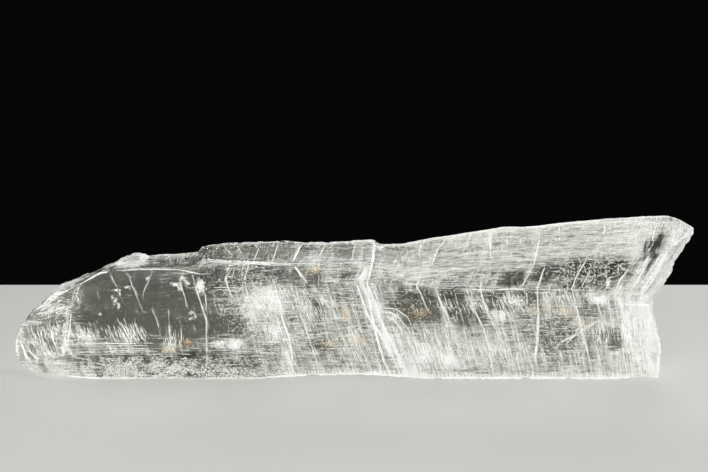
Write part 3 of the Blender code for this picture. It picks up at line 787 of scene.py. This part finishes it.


# the main cleavage lines, listed one by one
mainCleavage = {"length": (2.0, 9.0), "width": (0.14, 0.4), "skinDepth": 0.8, "lines": [
    # path of (x, height), width, slivers, depth reached
    ([(13.5, 89), (12, 80), (8, 64)], 1.6, 700, 3),
    ([(8, 64), (11, 46), (15, 28), (19, 14), (23, 2)], 1.7, 900, 5),
    ([(-62, 85), (-65, 78)], 0.8, 110, 2),
    ([(-50, 86), (-53, 77.5)], 0.8, 110, 2),
    ([(-35, 85), (-40, 76.5)], 1.2, 200, 2),
    ([(-19, 86), (-23.5, 78.5)], 0.8, 90, 2),
    ([(1.6, 87), (-1.7, 79)], 0.8, 90, 2),
    ([(-85, 84), (-80, 81), (-74, 84)], 0.6, 60, 2),
    ([(-78, 86), (-72, 80)], 0.6, 50, 2),
    ([(-111, 80), (-110, 71), (-112, 65), (-108, 50)], 0.5, 80, 4),
    ([(-96, 56), (-95.5, 50)], 0.6, 30, 4),
    ([(8, 64), (13, 53), (20, 33), (27, 20), (35, 2)], 1.8, 800, 6),
    ([(1, 64), (5, 53), (8, 44), (17, 30), (25, 16), (30, 2)], 1.6, 900, 5),
    ([(-52, 66), (-49, 53), (-46, 39), (-43, 30), (-41, 20), (-40, 2)], 1.5, 900, 6),
    ([(-40, 76), (-37, 84), (-34, 90)], 0.7, 60, 6),
    ([(-39, 76), (-34, 69), (-30, 64)], 1.2, 160, 6),
    ([(-99, 79), (-83, 78), (-60, 77), (-38, 76)], 0.8, 170, 2),
    ([(-67, 78), (-71, 66), (-69, 56), (-64, 40)], 0.6, 170, 6),
    ([(-76, 78), (-83, 67), (-81, 60), (-79, 56)], 0.6, 110, 6),
    ([(-104, 69), (-102, 60), (-96, 40), (-96, 12)], 0.9, 220, 6),
    ([(-146, 71), (-142, 60), (-137, 47)], 0.6, 30, 5),
    ([(-129, 76), (-131, 69), (-136, 58), (-136, 53)], 0.5, 30, 5),
    ([(-131, 48), (-128, 40), (-126, 31)], 0.6, 30, 5),
    ([(-179, 59), (-178, 48)], 0.4, 16, 5),
    ([(-157, 70), (-153, 62)], 0.4, 14, 5),
    ([(-120, 45), (-120, 33), (-118, 23)], 0.5, 60, 8),
    ([(-112, 31), (-112.5, 24)], 0.5, 30, 5),
    ([(-175, 66), (-181, 58), (-183, 50), (-186, 41)], 0.5, 70, 3),
    ([(-184, 47), (-186, 40), (-189, 30), (-190, 20), (-188, 15)], 1.5, 80, 4),
    ([(-218, 35), (-221, 28), (-221.5, 20), (-218, 11), (-211, 5), (-203, 3)], 1.6, 260, 2),
    ([(-183, 42), (-185, 32), (-187, 22), (-183, 15), (-172, 13)], 1.0, 160, 4),
    ([(-23, 67), (-23, 60), (-21, 52)], 0.6, 30, 5),
    ([(-41, 64), (-37, 50), (-33, 38), (-27, 20), (-22, 5)], 0.7, 260, 8),
    ([(1, 46), (5, 30)], 0.6, 40, 5),
    ([(45, 75), (40, 62), (43, 56), (48, 45)], 1.0, 220, 6),
    ([(52, 61), (56, 50), (62, 38), (65, 34)], 1.3, 260, 8),
    ([(72, 60), (78, 46), (84, 34), (88, 20), (91, 2)], 1.0, 320, 8),
    ([(83, 69), (81, 61), (83, 53), (90, 36)], 0.8, 180, 6),
    ([(90, 96), (89, 89), (88, 79)], 1.0, 120, 3),
    ([(77, 93), (74, 86)], 0.8, 60, 3),
    ([(45, 88), (42, 80)], 0.8, 60, 3),
    ([(165, 100), (163, 93)], 0.8, 50, 3),
    ([(135, 98), (134, 90)], 0.8, 60, 3),
    ([(122, 97), (121, 90), (117, 80), (110, 66), (107, 61)], 1.2, 300, 3),
    ([(118, 60), (119, 46), (119, 26), (118, 16), (120, 5)], 1.4, 520, 10),
    ([(122, 74), (118, 60)], 0.9, 100, 5),
    ([(140, 60), (143, 50), (147, 36), (151, 20), (155, 4)], 1.1, 320, 8),
    ([(140, 60), (143, 69), (148, 78)], 0.8, 120, 5),
    ([(146, 61), (151, 71)], 0.7, 40, 5),
    ([(168, 59), (171, 66), (176, 73)], 1.2, 160, 6),
    ([(168, 58), (172, 46), (175, 33), (179, 18), (184, 5)], 1.1, 300, 8),
    ([(152, 60), (157, 50), (162, 38)], 0.8, 130, 6),
    ([(158, 41), (160, 23)], 0.7, 45, 5),
    ([(32, 64), (55, 61), (81, 60), (107, 60), (139, 60), (159, 59), (177, 58)], 0.8, 330, 2),
    ([(129.7, 19.3), (134, 25), (144, 29.5), (150, 34), (158.5, 39.7)], 0.8, 120, 5),
    ([(158.5, 39.7), (162, 33)], 0.8, 40, 5),
    ([(138, 24), (143, 30), (146, 36)], 0.7, 50, 5),
    ([(79, 96), (76, 89)], 0.7, 35, 4),
    ([(60, 88), (54, 83), (49, 74)], 0.8, 110, 5),
    ([(18, 45), (25, 44), (30, 40), (36, 32)], 0.9, 130, 6),
    ([(20, 48), (28, 46.5), (34, 42), (38, 35)], 0.6, 80, 6),
    ([(15, 42), (22, 42), (28, 37), (31, 31)], 0.6, 60, 6),
    ([(-214, 37), (-213, 29), (-209, 20), (-203, 14), (-198, 11)], 0.6, 34, 4),
    ([(-208, 38), (-207, 30), (-204, 22), (-198, 16), (-193, 13)], 0.6, 30, 4),
    ([(-200, 42), (-199, 33), (-197, 25), (-194, 20)], 0.6, 34, 4),
    ([(-221, 33), (-219, 23), (-214, 14), (-205, 8.5), (-196, 7), (-186, 7)], 0.8, 120, 3),
    ([(-206, 30), (-204, 22), (-200, 15), (-194, 11), (-186, 9)], 0.6, 60, 3),
    ([(-198, 27), (-195, 21), (-193, 14)], 0.6, 40, 3),
    ([(-217, 40), (-203, 46), (-191, 55), (-180, 61)], 0.8, 110, 3),
    ([(-214, 39), (-203, 42), (-186, 48)], 0.8, 80, 3),
    ([(-175, 71), (-163, 72), (-134, 73), (-113, 73), (-99, 70)], 0.8, 300, 2),
    ([(-163, 73), (-150, 75), (-137, 76.2)], 1.6, 240, 3),
    ([(-116, 78), (-114, 74)], 0.5, 24, 3),
    ([(185, 53), (189, 33), (191, 3)], 0.8, 160, 6),
    ([(178, 59), (184, 70), (188, 80), (191, 90)], 1.2, 260, 6),
    ([(186, 60), (194, 74), (203, 90)], 1.0, 180, 6),
    ([(192.5, 88), (195, 94), (198, 99)], 0.7, 90, 2),
    ([(-184, 24), (-158, 24.4), (-131, 24.6)], 0.5, 260, 1),
    ([(-184, 22.4), (-158, 22.7), (-133, 23)], 0.35, 100, 1),
    ([(-184, 20.8), (-160, 21), (-134, 21)], 0.35, 100, 1),
    ([(-185, 17), (-160, 17.2), (-128, 17)], 0.6, 300, 1),
    ([(176, 41.5), (186, 41), (194, 41)], 0.5, 25, 3),
    ([(172, 20), (184, 20), (195, 20.4)], 0.6, 55, 3),
], "combs": [
    # short leaning strokes side by side: left, right, low, high, lean, strokes
    (-182, -166, 23, 37, -0.45, 170), (-156, -136, 22, 38, -0.4, 210), (-123, -113, 18, 32, 0.0, 80),
    (-64, -46, 38, 66, -0.35, 110), (-36, -10, 36, 58, -0.4, 100), (90, 112, 44, 60, -0.4, 160),
    (150, 172, 20, 44, -0.2, 120), (176, 196, 55, 74, 0.62, 120), (-6, 8, 6, 40, -0.45, 180),
    (36, 70, 4, 30, -0.42, 320), (70, 118, 4, 30, -0.35, 260), (124, 150, 46, 60, -0.3, 150),
    (20, 46, 66, 86, 0.35, 160), (60, 130, 78, 94, 0.45, 160), (44, 110, 40, 60, -0.35, 170),
    (172, 186, 4, 50, -0.16, 140), (-72, -56, 42, 58, 0.7, 110), (-60, -44, 26, 42, 0.3, 90),
    (-68, -54, 40, 62, -0.7, 90), (-217, -200, 14, 28, -0.5, 90), (-207, -192, 8, 20, -0.6, 110),
    (-204, -190, 22, 36, -0.4, 90), (-208, -184, 38, 52, 1.4, 130),
], "combDepth": 1.6, "combLength": (0.15, 0.5), "combWidth": (0.15, 0.42)}


def lineSlivers(path, width, count, depth):
    # slivers strewn along a path in a few strands, most of them near the front skin; the first strand
    # runs all the way, and each of the others frays off beside a part of it
    path = np.array(path, float)
    steps = np.linalg.norm(np.diff(path, axis=0), axis=1)
    reach = np.concatenate([[0], np.cumsum(steps)])

    def placeAt(distance):
        # (x, z) at a distance along the path
        return np.array([np.interp(distance, reach, path[:, 0]), np.interp(distance, reach, path[:, 1])])

    strands = 1 + int(round(2.4 * width))
    strand = dice.integers(0, strands, count)
    start, stop = dice.uniform(0, 0.5, strands), dice.uniform(0.5, 1, strands)
    aside = dice.normal(0, 0.3, strands) * width
    start[0], stop[0], aside[0] = 0, 1, 0
    at = reach[-1] * (start[strand] + (stop - start)[strand] * dice.uniform(0, 1, count))
    way = placeAt(np.minimum(at + 2, reach[-1])) - placeAt(np.maximum(at - 2, 0))
    wayX, wayZ = way / np.hypot(*way)
    swell = 0.6 + 0.6 * np.abs(noise(at / 5, width * 9, 0, 33))
    sideways = aside[strand] + dice.normal(0, 0.09, count) * width
    x, z = placeAt(at) + sideways * np.array([wayZ, -wayX])
    inward = mainCleavage["skinDepth"] + dice.exponential(depth / 5, count)
    centres = np.stack([x + inward * 0.12, frontAndBack(x, z)[0] + inward, z], -1)
    ways = np.stack([wayX, dice.normal(0, 0.2, count), wayZ], -1)
    ways[:, 0] += dice.normal(0, 0.04, count)
    ways = followSkin(x, z, ways)
    lengths = dice.uniform(*mainCleavage["length"], count)
    widths = dice.uniform(*mainCleavage["width"], count) * (0.75 + 0.3 * width) * swell
    return centres, ways, lengths, widths


def combSlivers(left, right, low, high, lean, count):
    # fine strokes side by side, all at one lean, closest together in the middle of the comb
    x = (left + right) / 2 + 0.3 * (right - left) * dice.normal(0, 1, count)
    z = (low + high) / 2 + 0.22 * (high - low) * dice.normal(0, 1, count)
    ways = np.stack([lean + dice.normal(0, 0.06, count), dice.normal(0, 0.15, count), np.ones(count)], -1)
    inward = mainCleavage["skinDepth"] + dice.exponential(mainCleavage["combDepth"], count)
    centres = np.stack([x, frontAndBack(x, z)[0] + inward, z], -1)
    ways = followSkin(x, z, ways)
    lengths = dice.uniform(*mainCleavage["combLength"], count) * (high - low)
    return centres, ways, lengths, dice.uniform(*mainCleavage["combWidth"], count)


airGap = matt("airFilledCleavage", "#fbfbf9", 0.45)  # split cleavage with air in it: bright white
lineGroups = [lineSlivers(*line) for line in mainCleavage["lines"]]
combGroups = [combSlivers(*comb) for comb in mainCleavage["combs"]]
addSlivers("mainCleavageLines", lineGroups + combGroups, airGap)

# counts are thrown, and the slivers that would come out of the crystal are dropped
hairs = {
    "count": 36000, "power": 1.6, "groupPitch": 2.3, "groupFrom": 0.02, "leanSpread": 0.07,
    "leastLength": 1.5, "leastWidth": 0.14, "moreWidth": 0.5,
}
fibres = {
    "count": 30000, "power": 1.6, "nearShare": 0.6, "near": 0.12, "leastLength": 2, "width": (0.12, 0.36),
}
frost = {
    "count": 16000, "length": (0.6, 2.0), "width": (0.18, 0.36), "near": (0.02, 0.12), "ground": 0.04,
    # middle x, height, half width, half height, slant, strength
    "nets": [
        (154, 70, 26, 12, 0.4, 1.0), (135, 32, 18, 15, -0.2, 0.6), (-60, 46, 26, 24, -0.3, 0.5),
        (-203, 26, 15, 22, 0.5, 1.6), (-60, 83, 44, 7, 0, 1.8),
    ],
}


def cleavageHairs():
    # thin lines between the main ones, all along the chevron, closest together where it is whiter
    x, z = scatter(hairs["count"], lambda x, z: 0.01 + whiteness(x, z) ** hairs["power"])
    group = noise(cleavageCoordinate(x, z) / hairs["groupPitch"], 0, 0, 31)
    keep = group + 0.5 * noise(x / 5, z / 7, 0, 32) > hairs["groupFrom"]
    x, z, count = x[keep], z[keep], int(keep.sum())
    share = dice.beta(0.8, 1.6, count)
    leans = cleavageLean(x, z) + dice.normal(0, hairs["leanSpread"], count)
    ways = np.stack([leans, dice.normal(0, 0.2, count), np.ones(count)], -1)
    ways = followSkin(x, z, ways, 1 - share)
    lengths = dice.gamma(2.2, 2.3, count) + hairs["leastLength"]
    widths = hairs["leastWidth"] + hairs["moreWidth"] * dice.beta(1.2, 2.6, count)
    return inSheet(x, z, share), ways, lengths, widths


def fibreDensity(x, z):
    # whiteness to a power, and more in the satin bevel
    return 0.6 * whiteness(x, z) ** fibres["power"] + 0.4 * inSatin(x, z, -3, 4, 15)


def longFibres():
    # silky fibres along the blade, level at the twin plane and along the ridge above, closest together
    # in the satin bevel and where the crystal is white
    count = fibres["count"]
    x, z = scatter(count, fibreDensity)
    slope = (rail(blade["ridge"], x + 6) - rail(blade["ridge"], x - 6)) / 12
    twin, ridgeZ = bladeRails(x, "twinLine", "ridge")
    slope = np.clip(slope, -0.1, 0.25) * np.clip((z - twin) / (ridgeZ - twin), 0, 1)
    ways = np.stack([np.ones(count), dice.normal(0, 0.03, count), slope + dice.normal(0, 0.03, count)], -1)
    nearFront = dice.uniform(0, 1, count) < fibres["nearShare"]
    share = np.where(nearFront, dice.uniform(0, fibres["near"], count), dice.uniform(0, 1, count))
    ways = followSkin(x, z, ways, 1 - share)
    lengths = dice.gamma(2.5, 3.2, count) + fibres["leastLength"]
    return inSheet(x, z, share), ways, lengths, dice.uniform(*fibres["width"], count)


def frostDensity(x, z):
    # the nets' patches, seen only along the thin lines where either of two noises is near 0
    net = sum(strength * patch(x, z, *place) for *place, strength in frost["nets"])
    web = (np.abs(noise(x / 3.4, z / 2.8, 0, 41)) < 0.11) | (np.abs(noise(x / 1.9, z / 1.6, 0, 42)) < 0.13)
    return np.clip(frost["ground"] * easeStep(-110, -60, x) + net * web, 0, 1)


def frostNet():
    # short crossing cracks like frost, in the dark windows beside the twin plane and round the clouds
    count = frost["count"]
    x, z = scatter(count, frostDensity)
    turn = dice.uniform(0, np.pi, count)
    ways = np.stack([np.cos(turn), dice.normal(0, 0.5, count), np.sin(turn)], -1)
    nearest, further = frost["near"]
    share = nearest + further * dice.beta(0.8, 2.5, count)
    lengths = dice.uniform(*frost["length"], count)
    return inSheet(x, z, share), ways, lengths, dice.uniform(*frost["width"], count)


silk = matt("silkyFibre", "#eef0eb", 0.4)  # fibres and hair cracks: a soft white sheen
addSlivers("cleavageHairs", [cleavageHairs()], silk)
addSlivers("longFibres", [longFibres()], silk)
addSlivers("frostNet", [frostNet()], silk)

# bruises and rust: small white or stained flaws, each a knot of splinters
knots = {"length": (0.6, 1.9), "width": (0.25, 0.6)}
bruises = {"depth": (0.018, 0.09), "spots": [
    # middle x, height, half width, half height, splinters
    (-99, 62, 2.8, 4.2, 900), (-77, 24, 5, 4, 1200), (-87, 24, 5, 2.5, 450), (157.5, 53, 4.5, 3, 1100),
    (163.5, 64, 1.4, 3, 160), (63, 12.5, 6, 3, 420), (-56, 57, 6, 5, 160), (-54, 47, 7, 8, 180),
    (-50, 34, 9, 6, 200), (-66, 42, 8, 5, 120), (25, 41, 7, 4, 300), (44, 15, 6, 4, 300),
    (104, 52, 9, 4, 240), (-31.5, 48, 3.5, 4, 180), (-115, 63, 2.8, 1.6, 90), (-112, 60.5, 2, 2.8, 70),
    (-107.5, 64, 2.2, 3, 70), (-110, 67, 2.4, 1.6, 50), (-153.2, 59.5, 3, 1.4, 40),
    (-151, 57.6, 1.2, 2.6, 28), (-153.9, 52.7, 1.8, 3, 48), (-152, 49.4, 1.3, 2.6, 30),
    (-156, 54.6, 1.3, 2, 20), (-146.2, 61.5, 3.2, 1, 30), (-164.5, 43.6, 2, 1, 16),
    (-132.9, 67.1, 1.2, 2, 18), (-104.8, 44.6, 2.6, 1.6, 40), (-102.6, 42, 1.4, 2.8, 30),
    (-105.6, 40.8, 2.2, 1.2, 24), (95, 44, 6, 3, 220), (-178, 28, 3, 5, 60), (-143, 28, 7, 5, 90),
    (-172, 27, 5, 4, 60), (30, 10, 4, 3, 200),
]}
rust = {"depth": (0.02, 0.12), "colours": {"strong": "#d3ab78", "pale": "#e7d8be"}, "spots": [
    # middle x, height, half width, half height, splinters, strength
    (-108, 25, 3.8, 3.6, 110, "strong"), (-120, 20, 6, 3.5, 300, "pale"), (-25, 73, 6, 5, 220, "pale"),
    (-5, 44, 3.5, 6, 90, "strong"), (-5, 44, 4, 6, 300, "pale"), (3, 26, 9, 4.5, 420, "pale"),
    (-14, 24, 7, 4, 220, "pale"), (44, 44, 14, 11, 100, "strong"), (44, 44, 13, 10, 150, "pale"),
    (114, 46, 6, 3.5, 260, "pale"), (125, 49, 6, 3, 260, "pale"), (136, 46, 7, 4, 340, "pale"),
    (145, 40, 5, 4, 260, "pale"), (152, 35, 4, 3, 200, "pale"),
]}
# a dark seam of slivers that leans up into the upper tip
seam = {"colour": "#362e29", "lines": [
    # path of (x, height), width, slivers, depth reached
    ([(200.5, 93.5), (195, 87.5), (189, 81)], 3.2, 460, 3),
    ([(196, 90), (189.5, 76), (183.5, 61)], 1.0, 300, 3),
    ([(202, 98), (197, 88), (192, 80)], 0.9, 140, 3),
    ([(189.5, 91), (185.5, 79.5)], 0.9, 130, 3),
]}


def knot(middleX, middleZ, halfX, halfZ, count, depth):
    # splinters in all directions, closest together in the middle of a small oval
    radius, turn = np.abs(dice.normal(0, 0.5, count)), dice.uniform(0, 2 * np.pi, count)
    x, z = middleX + halfX * radius * np.cos(turn), middleZ + halfZ * radius * np.sin(turn)
    ways = dice.normal(0, 1, (count, 3))
    centres = np.stack([x, depthBetween(x, z, dice.uniform(*depth, count)), z], -1)
    return centres, ways, dice.uniform(*knots["length"], count), dice.uniform(*knots["width"], count)


addSlivers("whiteBruises", [knot(*spot, bruises["depth"]) for spot in bruises["spots"]], airGap)
for strength, colour in rust["colours"].items():  # iron oxide in the cracks: a dull brown or cream stain
    spots = [spot[:5] for spot in rust["spots"] if spot[5] == strength]
    stain = matt(strength + "IronStain", colour, 0.6)
    addSlivers(strength + "IronStains", [knot(*spot, rust["depth"]) for spot in spots], stain)
darkSeamFilm = matt("darkSeamMaterial", seam["colour"], 0.6)  # dark, dull slivers along the seam
addSlivers("darkSeamSlivers", [lineSlivers(*line) for line in seam["lines"]], darkSeamFilm)

# sugary crust: small crystals on the foot of the left half
crust = {
    "count": 4200, "left": -188, "middle": -140, "right": -40, "low": 0.8, "rise": 14.5,
    "size": (0.25, 0.9), "stretch": (0.35, 0.65), "sunk": 0.15,
}


def crustCrystals():
    # small blocks, each turned its own way and mostly sunk in the skin: eight corners, by stretch and turn
    # from a cube's, and six faces apiece
    count = crust["count"]
    x = dice.triangular(crust["left"], crust["middle"], crust["right"], count)
    z = crust["low"] + crust["rise"] * dice.beta(1.0, 1.5, count)
    kept = noise(x / 5, z / 3, 0, 51) > dice.uniform(-0.7, 0.4, count)
    x, z, count = x[kept], z[kept], int(kept.sum())
    axes = np.linalg.qr(dice.normal(0, 1, (count, 3, 3)))[0]
    axes *= np.sign(np.linalg.det(axes))[:, None, None]
    smallest, largest = crust["size"]
    size = smallest + (largest - smallest) * dice.beta(1, 2.2, count)
    stretch = size[:, None] * dice.uniform(*crust["stretch"], (count, 3))
    signs = np.array([[i, j, k] for i in (-1, 1) for j in (-1, 1) for k in (-1, 1)], float)
    centres = np.stack([x, frontAndBack(x, z)[0] + crust["sunk"] + 0.25 * size, z], -1)
    points = centres[:, None] + np.einsum("nj,cj,njk->nck", stretch, signs, axes)
    pattern = np.array([[0, 1, 3, 2], [4, 6, 7, 5], [0, 4, 5, 1], [2, 3, 7, 6], [0, 2, 6, 4], [1, 5, 7, 3]])
    faces = (np.arange(count)[:, None, None] * 8 + pattern).reshape(-1, 4)
    return insideCadBox(points.reshape(-1, 3)), [faces]


sugar = matt("sugaryGypsum", "#e4e6de", 0.25)  # small bare crystal faces: they glint
addPiece("crustCrystals", *crustCrystals(), sugar)
print("crust made")

studio = {
    "tableX": (-750, 750), "tableY": (-1400, 284), "tableThick": 16, "tableColours": ("#cfcecb", "#d5d4d1"),
    "camera": (0, -812, 225), "pitch": 9.36, "lens": 63.56, "dark": 0.002, "aim": (0, 0, 50),
    # name, place, width, height, watts
    "softboxes": [
        ("overhead", (0, 350, 1000), 1300, 800, 3.4), ("front", (-350, -1500, 550), 1000, 600, 20.5),
        ("left", (-1000, -300, 500), 600, 800, 4), ("right", (1000, -200, 500), 500, 800, 5.5),
        ("back", (300, 1500, 750), 1000, 600, 10),
    ],
}


def tableTop():
    # matt pale laminate: an even warm grey with a very faint mottle about 110 mm across
    material, shader = newMaterial("paleLaminate")
    place = addNode(material, "TexCoord").outputs["Object"]
    mottle = addNode(material, "TexNoise", {}, {"Vector": place, "Scale": 9.0, "Detail": 2.0})
    darker, paler = (toLinear(colour) for colour in studio["tableColours"])
    colour = addNode(material, "Mix", {"data_type": "RGBA"}, {
        "Factor": mottle.outputs["Fac"], 6: darker, 7: paler}).outputs[2]
    material.node_tree.links.new(colour, shader.inputs["Base Color"])
    shader.inputs["Roughness"].default_value = 0.8
    (left, right), (front, back) = studio["tableX"], studio["tableY"]
    around = [(left, front), (right, front), (right, back), (left, back)]
    corners = np.array([(x, y, z) for z in (-studio["tableThick"], 0) for x, y in around])
    faces = np.array([[0, 3, 2, 1], [4, 5, 6, 7], [0, 1, 5, 4], [1, 2, 6, 5], [2, 3, 7, 6], [3, 0, 4, 7]])
    return makePiece("tableTop", corners, [faces], material)


def softbox(name, place, width, height, power):
    # a rectangular lamp that faces the crystal
    lamp = bpy.data.lights.new(name, "AREA")
    lamp.shape, lamp.energy = "RECTANGLE", power
    lamp.size, lamp.size_y = width * mm, height * mm
    box = bpy.data.objects.new(name, lamp)
    box.location = Vector(place) * mm
    away = Vector(place) - Vector(studio["aim"])
    box.rotation_euler = away.to_track_quat("Z", "Y").to_euler()
    bpy.context.scene.collection.objects.link(box)


table = tableTop()
for box in studio["softboxes"]:
    softbox(*box)
world = bpy.data.worlds.new("studioDark")
bpy.context.scene.world = world
world.use_nodes = True
dark = studio["dark"]
world.node_tree.nodes["Background"].inputs["Color"].default_value = (dark, dark, dark, 1)
bpy.context.scene.view_settings.view_transform = "Standard"
cameraData = bpy.data.cameras.new("viewCamera")
cameraData.lens = studio["lens"]
camera = bpy.data.objects.new("viewCamera", cameraData)
camera.location = Vector(studio["camera"]) * mm
camera.rotation_euler = (math.radians(90 - studio["pitch"]), 0, 0)
bpy.context.scene.collection.objects.link(camera)
bpy.context.scene.camera = camera
print("studio ready")
